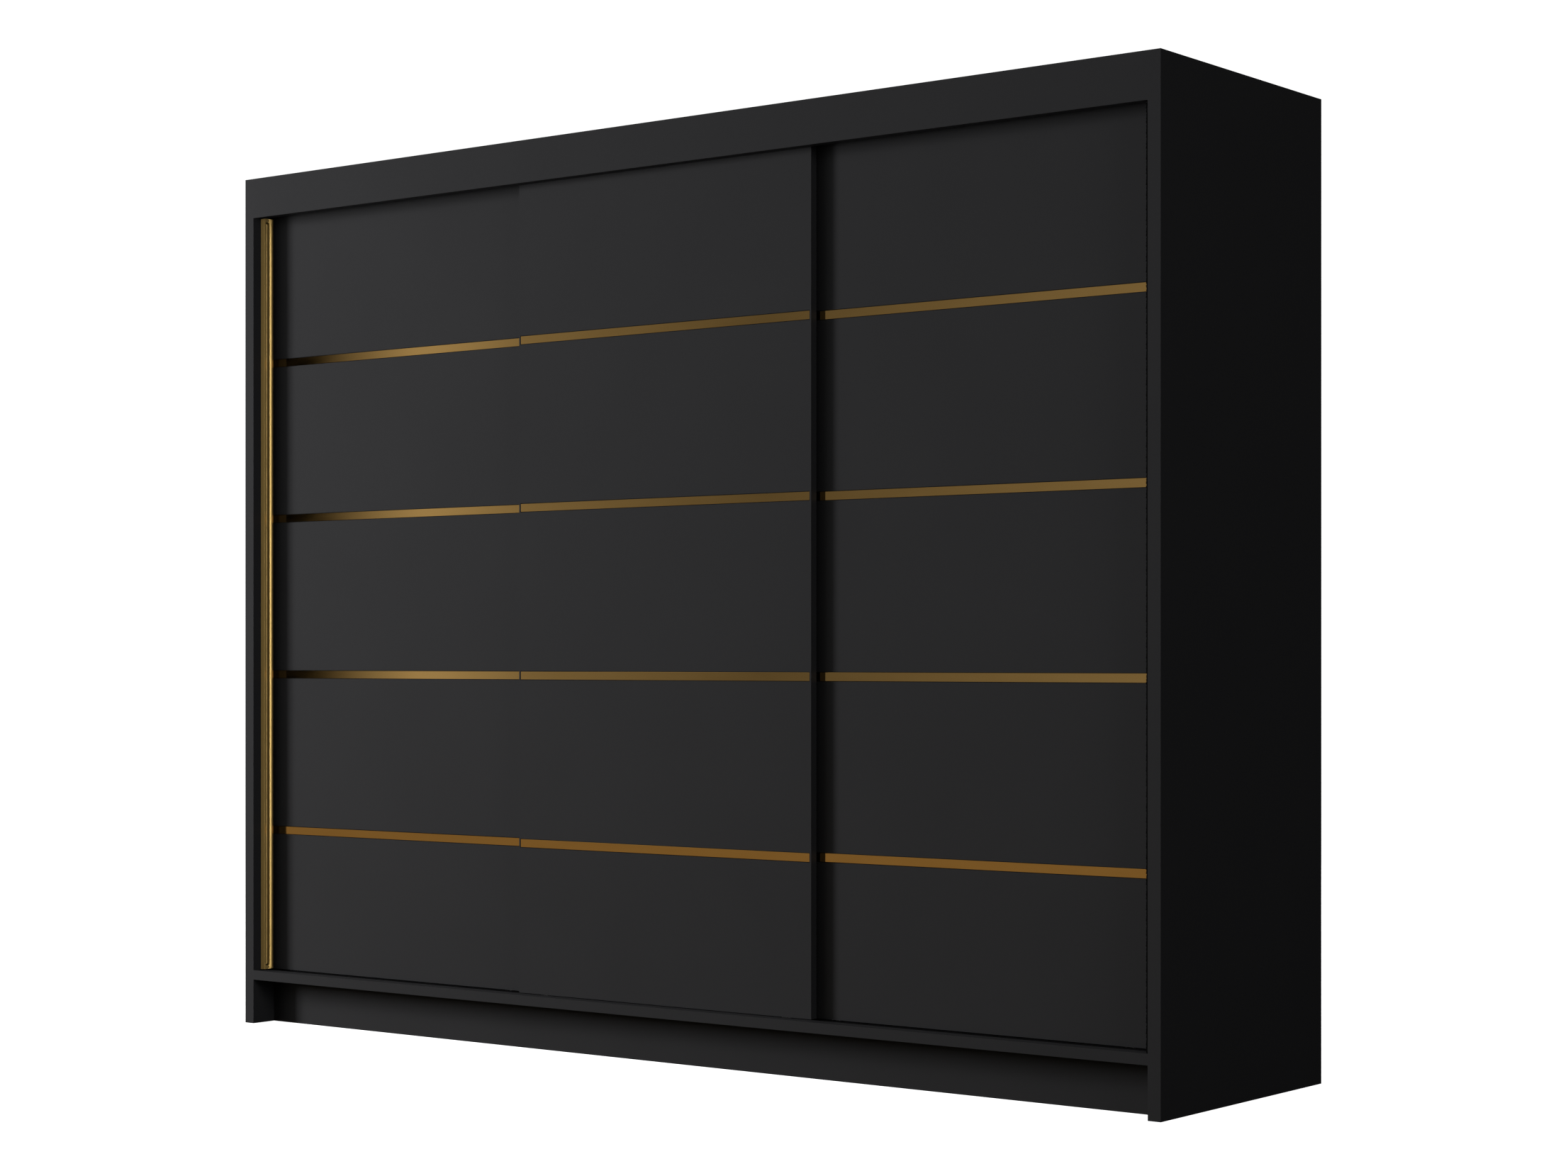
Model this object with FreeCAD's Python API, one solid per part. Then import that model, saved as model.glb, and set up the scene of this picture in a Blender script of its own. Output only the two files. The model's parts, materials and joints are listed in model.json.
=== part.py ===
import FreeCAD, Part
import os

# A three-door sliding wardrobe. Millimetres, +Z up, X to the right, the front faces -Y.
# The origin is on the floor, at the middle of the outline.

# ---- driving dimensions ----
WIDTH = 2500.0
DEPTH = 640.0
HEIGHT = 2000.0
SIDE_T = 28.0          # side panels
BOARD_T = 22.0         # top, bottom and header boards
PANEL_T = 18.0         # doors, partitions, shelves and plinth boards
BACK_T = 3.0           # hardboard back
HEADER_H = 93.0        # height of the header board that hides the top track
PLINTH_H = 103.5
PLINTH_SETBACK = 65.0  # how far the front plinth stands behind the front edges
PARTITION_X = 400.0    # middle plane of each partition, either side of the centre
PARTITION_FRONT = -235.0

# ---- doors ----
OUTER_DOOR_W = 835.0
MIDDLE_DOOR_W = 807.5
MIDDLE_DOOR_LEFT = -394.5   # left edge of the middle door where it stands closed
DOOR_SIDE_GAP = 3.0         # outer door edge to side panel
FRONT_DOOR_Y = -292.0       # front face of the door on the front track
REAR_DOOR_Y = -268.0        # front face of the doors on the rear track
DOOR_BOTTOM = 127.0
DOOR_TOP = 1944.0

# ---- gold strips let into each door ----
STRIP_COUNT = 4
STRIP_H = 18.0
STRIP_PITCH = 369.5
STRIP_FIRST_Z = 448.0       # lower edge of the lowest strip
STRIP_T = 2.2
STRIP_RECESS = 0.3          # how far a strip's face lies below the door's face
STRIP_EDGE_INSET = 4.5
GROOVE_GAP = 1.0            # dark line around each strip

# ---- grip handle of each outer door ----
HANDLE_W = 13.1
HANDLE_DEPTH = 29.0
HANDLE_BOTTOM = 127.0
HANDLE_TOP = 1908.5
HANDLE_OVERHANG = 2.6       # past the door's edge
HANDLE_EDGE_R = 1.2
GRIP_SLOT_W = 13.5          # finger slot, front to back
GRIP_SLOT_DEPTH = 9.5
GRIP_LIP = 2.5              # wall left in front of the slot
GRIP_END = 9.0              # solid length left at each end
HANDLE_SCREW_COUNT = 4
HANDLE_SCREW_END = 70.0     # first and last screw, from the handle's ends
HANDLE_SCREW_R = 2.0
HANDLE_SCREW_HEAD_R = 4.0
HANDLE_SCREW_HEAD_H = 2.5
HANDLE_SCREW_BITE = 10.0    # thread length inside the handle

# ---- rollers, guides and tracks ----
ROLLER_R = 12.0
ROLLER_W = 6.0
ROLLER_INSET = 70.0         # roller axis from the door's vertical edges
ROLLER_BORE_R = 2.56
AXLE_R = 2.5
ROLL_CLEARANCE = 0.3        # roller to track floor
HOUSING_W = 60.0
HOUSING_H = 40.0
HOUSING_DEPTH = 14.4
HOUSING_SLOT_W = 6.8
HOUSING_SLOT_H = 19.0
HOUSING_SLOT_HALF = 14.0
GUIDE_R = 6.2
GUIDE_H = 10.0
GUIDE_INSET = 60.0
GUIDE_PIN_R = 3.0
GUIDE_BORE_R = 3.06
GUIDE_PIN_SUNK = 30.0       # pin length inside the door's top edge
GUIDE_COLLAR_R = 5.5
GUIDE_HEAD_R = 4.5
GUIDE_HEAD_H = 2.5
GUIDE_COLLAR_H = 13.0
AXIAL_PLAY = 0.4
TRACK_WALL = 1.5
TRACK_BASE = 1.5
BOTTOM_TRACK_H = 8.0
BOTTOM_CHANNEL_W = 9.0
TOP_TRACK_H = 28.0
TOP_TRACK_BASE = 2.0
TOP_CHANNEL_W = 14.0
TRACK_SCREW_COUNT = 7
TRACK_SCREW_END = 110.0
TRACK_SCREW_R = 2.0
TRACK_SCREW_L = 14.0
TRACK_SCREW_HEAD_R = 3.0
TRACK_SCREW_HEAD_H = 1.8
STOP_W = 13.0
STOP_H = 22.0
STOP_CLEARANCE = 1.0        # guide wheel to rubber stop where a door ends its travel
MIDDLE_TRAVEL_LEFT = 805.0
MIDDLE_TRAVEL_RIGHT = 788.0
SEAL_T = 2.4                # brush seal on the left door's edge
SEAL_W = 8.0
PANEL_SEAL_T = 5.0          # brush seal inside the right side panel's front edge
PANEL_SEAL_W = 8.0
PANEL_SEAL_INSET = 1.0
MIDDLE_SEAL_T = 5.0         # brush seal on the back of the middle door
MIDDLE_SEAL_W = 6.0
MIDDLE_SEAL_INSET = 2.0

# ---- inside ----
SHELF_FRONT = -225.0
SHELF_BACK = 315.0
SHELF_SIDE_GAP = 0.5
HAT_SHELF_Z = 1604.0        # underside of the top shelf in every bay
LOWER_SHELF_COUNT = 1       # further shelves in the left bay
PIN_R = 2.45
PIN_SUNK = 8.0
PIN_OUT = 8.0
PIN_FROM_SHELF_END = 60.0
ROD_H = 30.0                # oval hanging rod, upright
ROD_W = 15.0
ROD_WALL = 1.2
ROD_Y = 45.0
ROD_BELOW_SHELF = 55.0      # rod axis below the hat shelf
SOCKET_FLANGE_T = 2.5
SOCKET_FLANGE_RIM = 8.0
SOCKET_COLLAR_L = 12.0
SOCKET_WALL = 2.0
SOCKET_PLAY = 0.2
ROD_END_GAP = 0.5

# ---- joinery ----
CAM_R = 7.5
CAM_H = 13.0
CAM_FROM_END = 24.0
CAM_YS = (-180.0, 30.0, 240.0)
CAM_BOLT_R = 3.0
CAM_BOLT_SUNK = 11.0
DOWEL_R = 4.0
DOWEL_SUNK = 14.0
DOWEL_REACH = 26.0
BOARD_DOWEL_YS = (-100.0, 150.0)
PARTITION_DOWEL_YS = (-150.0, 40.0, 230.0)
HEADER_DOWEL_ZS = (1930.0, 1977.0)
FIT = 0.1                   # radial play of fasteners in their bores
BACK_REBATE = 10.0
BACK_TOP_GAP = 4.0
BACK_SEAM = 1.0
CROSS_MEMBER_XS = (-400.0, 0.0, 400.0)
BACK_PLINTH_SETBACK = 12.0
BRACKET_X = 800.0
BRACKET_W = 40.0
BRACKET_LEG = 45.0
BRACKET_T = 2.5
BRACKET_HOLE_R = 3.0
BRACKET_HOLE_FROM_CORNER = 28.0
WALL_HOLE_R = 5.0           # hole through the back for the wall screw and its plug

# ---- worked out from the above ----
INNER = WIDTH / 2 - SIDE_T
FRONT = -DEPTH / 2
REAR = DEPTH / 2
BACK_FACE = REAR - BACK_T            # where the boards end and the hardboard starts
HEADER_BACK = FRONT + BOARD_T
BOARD_TOP = PLINTH_H + BOARD_T       # upper face of the bottom board
CEILING = HEIGHT - BOARD_T           # underside of the top board
PLINTH_FRONT = FRONT + PLINTH_SETBACK
BACK_PLINTH_Y = BACK_FACE - BACK_PLINTH_SETBACK - PANEL_T
TRACK_FLOOR = BOARD_TOP - BOTTOM_TRACK_H + TRACK_BASE
ROLLER_Z = TRACK_FLOOR + ROLL_CLEARANCE + ROLLER_R
FRONT_LANE = FRONT_DOOR_Y + PANEL_T / 2   # middle plane of the front track's door
REAR_LANE = REAR_DOOR_Y + PANEL_T / 2
LANES = (FRONT_LANE, REAR_LANE)
TRACK_SCREW_Y = (FRONT_LANE + REAR_LANE) / 2
GUIDE_BOTTOM = DOOR_TOP + GUIDE_COLLAR_H + AXIAL_PLAY
LEFT_DOOR = (-INNER + DOOR_SIDE_GAP, -INNER + DOOR_SIDE_GAP + OUTER_DOOR_W)
RIGHT_DOOR = (INNER - DOOR_SIDE_GAP - OUTER_DOOR_W, INNER - DOOR_SIDE_GAP)
MIDDLE_DOOR = (MIDDLE_DOOR_LEFT, MIDDLE_DOOR_LEFT + MIDDLE_DOOR_W)
DOWEL_FACE = PARTITION_X - PANEL_T / 2    # partition face that looks to the centre
LEFT_BAY = (-INNER, -PARTITION_X - PANEL_T / 2)
MIDDLE_BAY = (-DOWEL_FACE, DOWEL_FACE)
RIGHT_BAY = (PARTITION_X + PANEL_T / 2, INNER)
ROD_Z = HAT_SHELF_Z - ROD_BELOW_SHELF

X_AXIS = FreeCAD.Vector(1, 0, 0)
Y_AXIS = FreeCAD.Vector(0, 1, 0)
Z_AXIS = FreeCAD.Vector(0, 0, 1)


# ---- shape helpers ----
def block(x0, x1, y0, y1, z0, z1):
    """A box between two corners."""
    return Part.makeBox(x1 - x0, y1 - y0, z1 - z0, FreeCAD.Vector(x0, y0, z0))


def rod(radius, start, axis, length):
    """A cylinder that starts at a point and runs along an axis."""
    return Part.makeCylinder(radius, length, FreeCAD.Vector(*start), axis)


def cut_all(shape, tools):
    return shape.cut(Part.makeCompound(tools)) if tools else shape


def save(name, *solids):
    shape = solids[0] if len(solids) == 1 else Part.makeCompound(list(solids))
    shape.exportStep("parts/" + name + ".step")


def spread(first, last, count):
    """Evenly spaced places from first to last."""
    return [first + (last - first) * i / (count - 1) for i in range(count)]


def turned(profile, centre, axis):
    """A solid of revolution: profile points are (radius, height) about an axis through centre."""
    points = [FreeCAD.Vector(r, 0, h) for r, h in profile]
    face = Part.Face(Part.makePolygon(points + points[:1]))
    solid = face.revolve(FreeCAD.Vector(0, 0, 0), Z_AXIS, 360)
    solid.Placement = FreeCAD.Placement(FreeCAD.Vector(*centre), FreeCAD.Rotation(Z_AXIS, axis))
    return solid


def stadium(width, height, length, centre, sign):
    """An upright oval bar that runs along X from centre, to the left or to the right."""
    r = width / 2
    x, y, z = centre
    half = height / 2 - r
    top = FreeCAD.Vector(x, y, z + half)
    low = FreeCAD.Vector(x, y, z - half)
    side = FreeCAD.Vector(0, r, 0)
    crown = FreeCAD.Vector(0, 0, r)
    edges = [
        Part.Arc(top - side, top + crown, top + side).toShape(),
        Part.makeLine(top + side, low + side),
        Part.Arc(low + side, low - crown, low - side).toShape(),
        Part.makeLine(low - side, top - side),
    ]
    return Part.Face(Part.Wire(edges)).extrude(X_AXIS * (sign * length))


# ---- joinery that holds the boards together ----
def cam_places():
    """(side, y, height of the joint, height where the cam's pocket starts) for each cam lock."""
    bottom_mid = PLINTH_H + BOARD_T / 2
    top_mid = CEILING + BOARD_T / 2
    places = []
    for side in (-1, 1):
        for y in CAM_YS:
            places.append((side, y, bottom_mid, PLINTH_H))
            places.append((side, y, top_mid, HEIGHT - CAM_H))
    return places


def cam_bolt(place, play=0.0):
    side, y, z, _ = place
    tip = INNER - CAM_FROM_END
    length = CAM_FROM_END + CAM_BOLT_SUNK
    return rod(CAM_BOLT_R + play, (side * tip, y, z), X_AXIS * side, length)


def cam_lock(place, play=0.0):
    side, y, _, z0 = place
    return rod(CAM_R + play, (side * (INNER - CAM_FROM_END), y, z0), Z_AXIS, CAM_H)


def side_dowels(play=0.0):
    """Wooden dowels between the side panels and the boards between them."""
    places = []
    for side in (-1, 1):
        for z in (PLINTH_H + BOARD_T / 2, CEILING + BOARD_T / 2):
            places += [(side, y, z) for y in BOARD_DOWEL_YS]
        places += [(side, FRONT + BOARD_T / 2, z) for z in HEADER_DOWEL_ZS]
    length = DOWEL_REACH + DOWEL_SUNK
    start = INNER - DOWEL_REACH
    return [rod(DOWEL_R + play, (s * start, y, z), X_AXIS * s, length) for s, y, z in places]


def partition_dowels(play=0.0):
    """Upright wooden dowels at both ends of each partition."""
    length = DOWEL_REACH + DOWEL_SUNK
    dowels = []
    for x in (-PARTITION_X, PARTITION_X):
        for y in PARTITION_DOWEL_YS:
            dowels.append(rod(DOWEL_R + play, (x, y, BOARD_TOP - DOWEL_SUNK), Z_AXIS, length))
            dowels.append(rod(DOWEL_R + play, (x, y, CEILING - DOWEL_REACH), Z_AXIS, length))
    return dowels


def joinery_bores():
    """Every bore for cams, bolts and dowels, each a little wider than what it holds."""
    bores = [cam_bolt(p, FIT) for p in cam_places()]
    return bores + side_dowels(FIT) + partition_dowels(FIT)


def near(shape, tools):
    """The tools whose boxes meet the shape's box."""
    return [t for t in tools if t.BoundBox.intersect(shape.BoundBox)]


def bored(shape, tools):
    return cut_all(shape, near(shape, tools))


# ---- shelf pins ----
def shelf_heights(bay):
    """Undersides of the shelves in a bay, from the top down."""
    heights = [HAT_SHELF_Z]
    if bay == LEFT_BAY:
        room = HAT_SHELF_Z - BOARD_TOP - LOWER_SHELF_COUNT * PANEL_T
        gap = room / (LOWER_SHELF_COUNT + 1)
        heights += [HAT_SHELF_Z - (i + 1) * (gap + PANEL_T) for i in range(LOWER_SHELF_COUNT)]
    return heights


def pin_places():
    """(x of the face, direction out of the face, y, z) for each shelf pin."""
    places = []
    for bay in (LEFT_BAY, MIDDLE_BAY, RIGHT_BAY):
        for z in shelf_heights(bay):
            for y in (SHELF_FRONT + PIN_FROM_SHELF_END, SHELF_BACK - PIN_FROM_SHELF_END):
                places.append((bay[0], 1, y, z - PIN_R))
                places.append((bay[1], -1, y, z - PIN_R))
    return places


def shelf_pin(place, play=0.0):
    x, out, y, z = place
    start = (x - out * PIN_SUNK, y, z)
    return rod(PIN_R + play, start, X_AXIS * out, PIN_SUNK + PIN_OUT)


# ---- carcass ----
def side_panel(side, bores):
    x0, x1 = sorted((side * INNER, side * WIDTH / 2))
    panel = block(x0, x1, FRONT, REAR, 0, HEIGHT)
    r0, r1 = sorted((side * INNER, side * (INNER + BACK_REBATE)))
    rebate = block(r0, r1, BACK_FACE, REAR, PLINTH_H, HEIGHT)
    return bored(panel.cut(rebate), bores)


def track_screw_xs():
    return spread(-INNER + TRACK_SCREW_END, INNER - TRACK_SCREW_END, TRACK_SCREW_COUNT)


def track_screws(play=0.0):
    """Pan-head screws: those of the bottom track point down, those of the top track point up."""
    screws = []
    for x in track_screw_xs():
        for base, out in ((TRACK_FLOOR, 1), (CEILING - TOP_TRACK_BASE, -1)):
            at = (x, TRACK_SCREW_Y, base)
            shank = rod(TRACK_SCREW_R + play, at, Z_AXIS * -out, TRACK_SCREW_L)
            head = rod(TRACK_SCREW_HEAD_R, at, Z_AXIS * out, TRACK_SCREW_HEAD_H)
            screws.append(shank if play else head.fuse(shank).removeSplitter())
    return screws


def top_panel(bores):
    panel = block(-INNER, INNER, HEADER_BACK, BACK_FACE, CEILING, HEIGHT)
    return bored(panel, bores + [cam_lock(p, FIT) for p in cam_places()])


def bottom_panel(bores):
    panel = block(-INNER, INNER, FRONT, BACK_FACE, PLINTH_H, BOARD_TOP)
    y0 = FRONT_LANE - BOTTOM_CHANNEL_W / 2 - TRACK_WALL - FIT
    y1 = REAR_LANE + BOTTOM_CHANNEL_W / 2 + TRACK_WALL + FIT
    rebate = block(-INNER, INNER, y0, y1, BOARD_TOP - BOTTOM_TRACK_H, BOARD_TOP)
    return bored(panel.cut(rebate), bores + [cam_lock(p, FIT) for p in cam_places()])


def header_board(bores):
    return bored(block(-INNER, INNER, FRONT, HEADER_BACK, HEIGHT - HEADER_H, HEIGHT), bores)


def partition(x, bores):
    panel = block(x - PANEL_T / 2, x + PANEL_T / 2, PARTITION_FRONT, BACK_FACE, BOARD_TOP, CEILING)
    return bored(panel, bores)


def back_panel(x0, x1):
    """Hardboard, with a hole for the wall screw where a bracket stands in front of it."""
    panel = block(x0, x1, BACK_FACE, REAR, PLINTH_H, HEIGHT - BACK_TOP_GAP)
    holes = [
        rod(WALL_HOLE_R, (side * BRACKET_X, BACK_FACE, wall_hole_z()), Y_AXIS, BACK_T)
        for side in (-1, 1)
        if x0 < side * BRACKET_X < x1
    ]
    return cut_all(panel, holes)


def wall_hole_z():
    return CEILING - BRACKET_HOLE_FROM_CORNER


def wall_bracket(x):
    """An angle under the top board and against the back, with one hole in each leg."""
    x0, x1 = x - BRACKET_W / 2, x + BRACKET_W / 2
    upright = block(x0, x1, BACK_FACE - BRACKET_T, BACK_FACE, CEILING - BRACKET_LEG, CEILING)
    flat = block(x0, x1, BACK_FACE - BRACKET_LEG, BACK_FACE, CEILING - BRACKET_T, CEILING)
    wall_hole = rod(BRACKET_HOLE_R, (x, BACK_FACE - BRACKET_T, wall_hole_z()), Y_AXIS, BRACKET_T)
    y = BACK_FACE - BRACKET_HOLE_FROM_CORNER
    board_hole = rod(BRACKET_HOLE_R, (x, y, CEILING - BRACKET_T), Z_AXIS, BRACKET_T)
    return upright.fuse(flat).removeSplitter().cut(wall_hole).cut(board_hole)


def shelf(bay, z):
    x0, x1 = bay
    return block(x0 + SHELF_SIDE_GAP, x1 - SHELF_SIDE_GAP, SHELF_FRONT, SHELF_BACK, z, z + PANEL_T)


def hanging_rod(bay):
    start = bay[0] + SOCKET_FLANGE_T + ROD_END_GAP
    length = bay[1] - bay[0] - 2 * (SOCKET_FLANGE_T + ROD_END_GAP)
    outer = stadium(ROD_W, ROD_H, length, (start, ROD_Y, ROD_Z), 1)
    hollow_w, hollow_h = ROD_W - 2 * ROD_WALL, ROD_H - 2 * ROD_WALL
    return outer.cut(stadium(hollow_w, hollow_h, length, (start, ROD_Y, ROD_Z), 1))


def rod_socket(x, out):
    """A flange against the board, with an oval collar that holds the rod's end."""
    rim = 2 * SOCKET_FLANGE_RIM
    flange = stadium(ROD_W + rim, ROD_H + rim, SOCKET_FLANGE_T, (x, ROD_Y, ROD_Z), out)
    face = x + out * SOCKET_FLANGE_T
    wall, play = 2 * (SOCKET_WALL + SOCKET_PLAY), 2 * SOCKET_PLAY
    collar = stadium(ROD_W + wall, ROD_H + wall, SOCKET_COLLAR_L, (face, ROD_Y, ROD_Z), out)
    pocket = stadium(ROD_W + play, ROD_H + play, SOCKET_COLLAR_L, (face, ROD_Y, ROD_Z), out)
    return flange.fuse(collar.cut(pocket)).removeSplitter()


# ---- tracks ----
def track_pieces(channel_w, base_z, wall_z):
    """A flat base, and a wall on both sides of each lane; base_z and wall_z are (low, high)."""
    half = INNER - ROD_END_GAP
    inner, outer = channel_w / 2, channel_w / 2 + TRACK_WALL
    spans = []
    for lane in LANES:
        spans += [(lane - outer, lane - inner), (lane + inner, lane + outer)]
    base = block(-half, half, spans[0][0], spans[-1][1], *base_z)
    return [base] + [block(-half, half, y0, y1, *wall_z) for y0, y1 in spans]


def bottom_track():
    low = BOARD_TOP - BOTTOM_TRACK_H
    floor = low + TRACK_BASE
    base, *walls = track_pieces(BOTTOM_CHANNEL_W, (low, floor), (floor, BOARD_TOP))
    return base.fuse(walls).removeSplitter()


def top_track():
    """The base and its four walls stay separate solids."""
    under = CEILING - TOP_TRACK_BASE
    return track_pieces(TOP_CHANNEL_W, (under, CEILING), (CEILING - TOP_TRACK_H, under))


def door_stops():
    """Rubber blocks in the ends of the top track's channels, one for each end of travel."""
    reach = GUIDE_R + STOP_CLEARANCE
    outer = INNER - DOOR_SIDE_GAP - GUIDE_INSET + reach
    left = MIDDLE_DOOR[0] + GUIDE_INSET - MIDDLE_TRAVEL_LEFT - reach
    right = MIDDLE_DOOR[1] - GUIDE_INSET + MIDDLE_TRAVEL_RIGHT + reach
    top = CEILING - TOP_TRACK_BASE
    ends = INNER - ROD_END_GAP
    spans = (
        (REAR_LANE, -ends, -outer),
        (REAR_LANE, outer, ends),
        (FRONT_LANE, -ends, left),
        (FRONT_LANE, right, ends),
    )
    half = STOP_W / 2
    return [block(a, b, y - half, y + half, top - STOP_H, top) for y, a, b in spans]


# ---- doors ----
def strip_zs():
    return [STRIP_FIRST_Z + i * STRIP_PITCH for i in range(STRIP_COUNT)]


def door_strips(door, front):
    x0, x1 = door[0] + STRIP_EDGE_INSET, door[1] - STRIP_EDGE_INSET
    y0 = front + STRIP_RECESS
    return [block(x0, x1, y0, y0 + STRIP_T, z, z + STRIP_H) for z in strip_zs()]


def strip_grooves(door, front):
    inset = STRIP_EDGE_INSET - GROOVE_GAP
    x0, x1 = door[0] + inset, door[1] - inset
    y1 = front + STRIP_RECESS + STRIP_T
    return [
        block(x0, x1, front, y1, z - GROOVE_GAP, z + STRIP_H + GROOVE_GAP) for z in strip_zs()
    ]


def roller_xs(door):
    return (door[0] + ROLLER_INSET, door[1] - ROLLER_INSET)


def guide_xs(door):
    return (door[0] + GUIDE_INSET, door[1] - GUIDE_INSET)


def handle_screws(handle_x, front, play=0.0):
    """Countersunk screws that go through the door from behind, into the handle."""
    back = front + PANEL_T
    screws = []
    for z in spread(HANDLE_BOTTOM + HANDLE_SCREW_END, HANDLE_TOP - HANDLE_SCREW_END,
                    HANDLE_SCREW_COUNT):
        length = PANEL_T + HANDLE_SCREW_BITE
        shank = rod(HANDLE_SCREW_R + play, (handle_x, back, z), -Y_AXIS, length)
        head = Part.makeCone(
            HANDLE_SCREW_HEAD_R + play, HANDLE_SCREW_R + play, HANDLE_SCREW_HEAD_H,
            FreeCAD.Vector(handle_x, back, z), -Y_AXIS,
        )
        screws.append(shank.fuse(head).removeSplitter())
    return screws


def handle_span(door, side):
    """The handle's low and high X on the door's outer edge."""
    edge = door[0] if side < 0 else door[1]
    outside = edge + side * HANDLE_OVERHANG
    return tuple(sorted((outside, outside - side * HANDLE_W)))


def door_board(door, front, handle_side):
    """A door panel with its strip grooves, roller pockets, guide bores and screw holes."""
    back = front + PANEL_T
    lane = front + PANEL_T / 2
    board = block(door[0], door[1], front, back, DOOR_BOTTOM, DOOR_TOP)
    tools = strip_grooves(door, front)
    half = HOUSING_W / 2 + FIT
    top = DOOR_BOTTOM + HOUSING_H + FIT
    for x in roller_xs(door):
        y0 = back - HOUSING_DEPTH - FIT
        tools.append(block(x - half, x + half, y0, back, DOOR_BOTTOM, top))
    for x in guide_xs(door):
        start = (x, lane, DOOR_TOP - GUIDE_PIN_SUNK - FIT)
        tools.append(rod(GUIDE_PIN_R + FIT, start, Z_AXIS, GUIDE_PIN_SUNK + FIT))
    if handle_side:
        tools += handle_screws(sum(handle_span(door, handle_side)) / 2, front, FIT)
    return cut_all(board, tools)


def roller_housing(x, front):
    """A block let into the back of the door, slotted for its roller, with a moulded axle."""
    back = front + PANEL_T
    lane = front + PANEL_T / 2
    half = HOUSING_W / 2
    top = DOOR_BOTTOM + HOUSING_H
    body = block(x - half, x + half, back - HOUSING_DEPTH, back, DOOR_BOTTOM, top)
    slot = block(
        x - HOUSING_SLOT_HALF, x + HOUSING_SLOT_HALF,
        lane - HOUSING_SLOT_W / 2, lane + HOUSING_SLOT_W / 2,
        DOOR_BOTTOM, DOOR_BOTTOM + HOUSING_SLOT_H,
    )
    start = (x, lane - HOUSING_SLOT_W / 2, ROLLER_Z)
    return body.cut(slot).fuse(rod(AXLE_R, start, Y_AXIS, HOUSING_SLOT_W)).removeSplitter()


def roller(x, front):
    """A nylon roller: chamfered rim, thinner web, hub as wide as the rim."""
    half, bevel, hub, web, rim = ROLLER_W / 2, 0.8, 5.0, 1.6, 9.0
    profile = [
        (ROLLER_BORE_R, -half), (hub, -half), (hub, -web), (rim, -web), (rim, -half),
        (ROLLER_R - bevel, -half), (ROLLER_R, bevel - half),
        (ROLLER_R, half - bevel), (ROLLER_R - bevel, half), (rim, half),
        (rim, web), (hub, web), (hub, half), (ROLLER_BORE_R, half),
    ]
    return turned(profile, (x, front + PANEL_T / 2, ROLLER_Z), Y_AXIS)


def guide_wheel(x, front):
    bevel = 0.8
    profile = [
        (GUIDE_BORE_R, 0), (GUIDE_R - bevel, 0), (GUIDE_R, bevel),
        (GUIDE_R, GUIDE_H - bevel), (GUIDE_R - bevel, GUIDE_H), (GUIDE_BORE_R, GUIDE_H),
    ]
    return turned(profile, (x, front + PANEL_T / 2, GUIDE_BOTTOM), Z_AXIS)


def guide_pin(x, front):
    """A headed pin in the door's top edge, with a collar that keeps its wheel up."""
    head = GUIDE_COLLAR_H + GUIDE_H + 2 * AXIAL_PLAY
    profile = [
        (0, -GUIDE_PIN_SUNK), (GUIDE_PIN_R, -GUIDE_PIN_SUNK), (GUIDE_PIN_R, 0),
        (GUIDE_COLLAR_R, 0), (GUIDE_COLLAR_R, GUIDE_COLLAR_H), (GUIDE_PIN_R, GUIDE_COLLAR_H),
        (GUIDE_PIN_R, head), (GUIDE_HEAD_R, head), (GUIDE_HEAD_R, head + GUIDE_HEAD_H),
        (0, head + GUIDE_HEAD_H),
    ]
    return turned(profile, (x, front + PANEL_T / 2, DOOR_TOP), Z_AXIS)


def handle(door, front, side):
    """A full-height grip bar whose finger slot, with round ends, opens away from the side panel."""
    x0, x1 = handle_span(door, side)
    y0 = front - HANDLE_DEPTH
    bar = block(x0, x1, y0, front, HANDLE_BOTTOM, HANDLE_TOP)
    upright = [
        e for e in bar.Edges
        if abs(e.tangentAt(e.FirstParameter).z) > 0.5 and e.BoundBox.YMax < front - 1
    ]
    bar = bar.makeFillet(HANDLE_EDGE_R, upright)
    mouth = x1 if side < 0 else x0
    centre = (mouth, y0 + GRIP_LIP + GRIP_SLOT_W / 2, (HANDLE_BOTTOM + HANDLE_TOP) / 2)
    length = HANDLE_TOP - HANDLE_BOTTOM - 2 * GRIP_END
    slot = stadium(GRIP_SLOT_W, length, GRIP_SLOT_DEPTH, centre, side)
    return cut_all(bar.cut(slot), handle_screws((x0 + x1) / 2, front, FIT))


def left_edge_seal(door, front):
    """A brush strip along the left door's edge, in the gap at the side panel."""
    lane = front + PANEL_T / 2
    return block(
        door[0] - SEAL_T, door[0], lane - SEAL_W / 2, lane + SEAL_W / 2, DOOR_BOTTOM, DOOR_TOP
    )


def panel_seal():
    """A brush strip on the right side panel, in front of the closed right door."""
    y = FRONT + PANEL_SEAL_INSET
    top = HEIGHT - HEADER_H
    return block(INNER - PANEL_SEAL_T, INNER, y, y + PANEL_SEAL_W, BOARD_TOP, top)


def middle_seals(door, front):
    """Brush strips on the back of the middle door, near both edges."""
    back = front + PANEL_T
    lows = (door[0] + MIDDLE_SEAL_INSET, door[1] - MIDDLE_SEAL_INSET - MIDDLE_SEAL_W)
    return [
        block(x, x + MIDDLE_SEAL_W, back, back + MIDDLE_SEAL_T, DOOR_BOTTOM, DOOR_TOP)
        for x in lows
    ]


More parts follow.
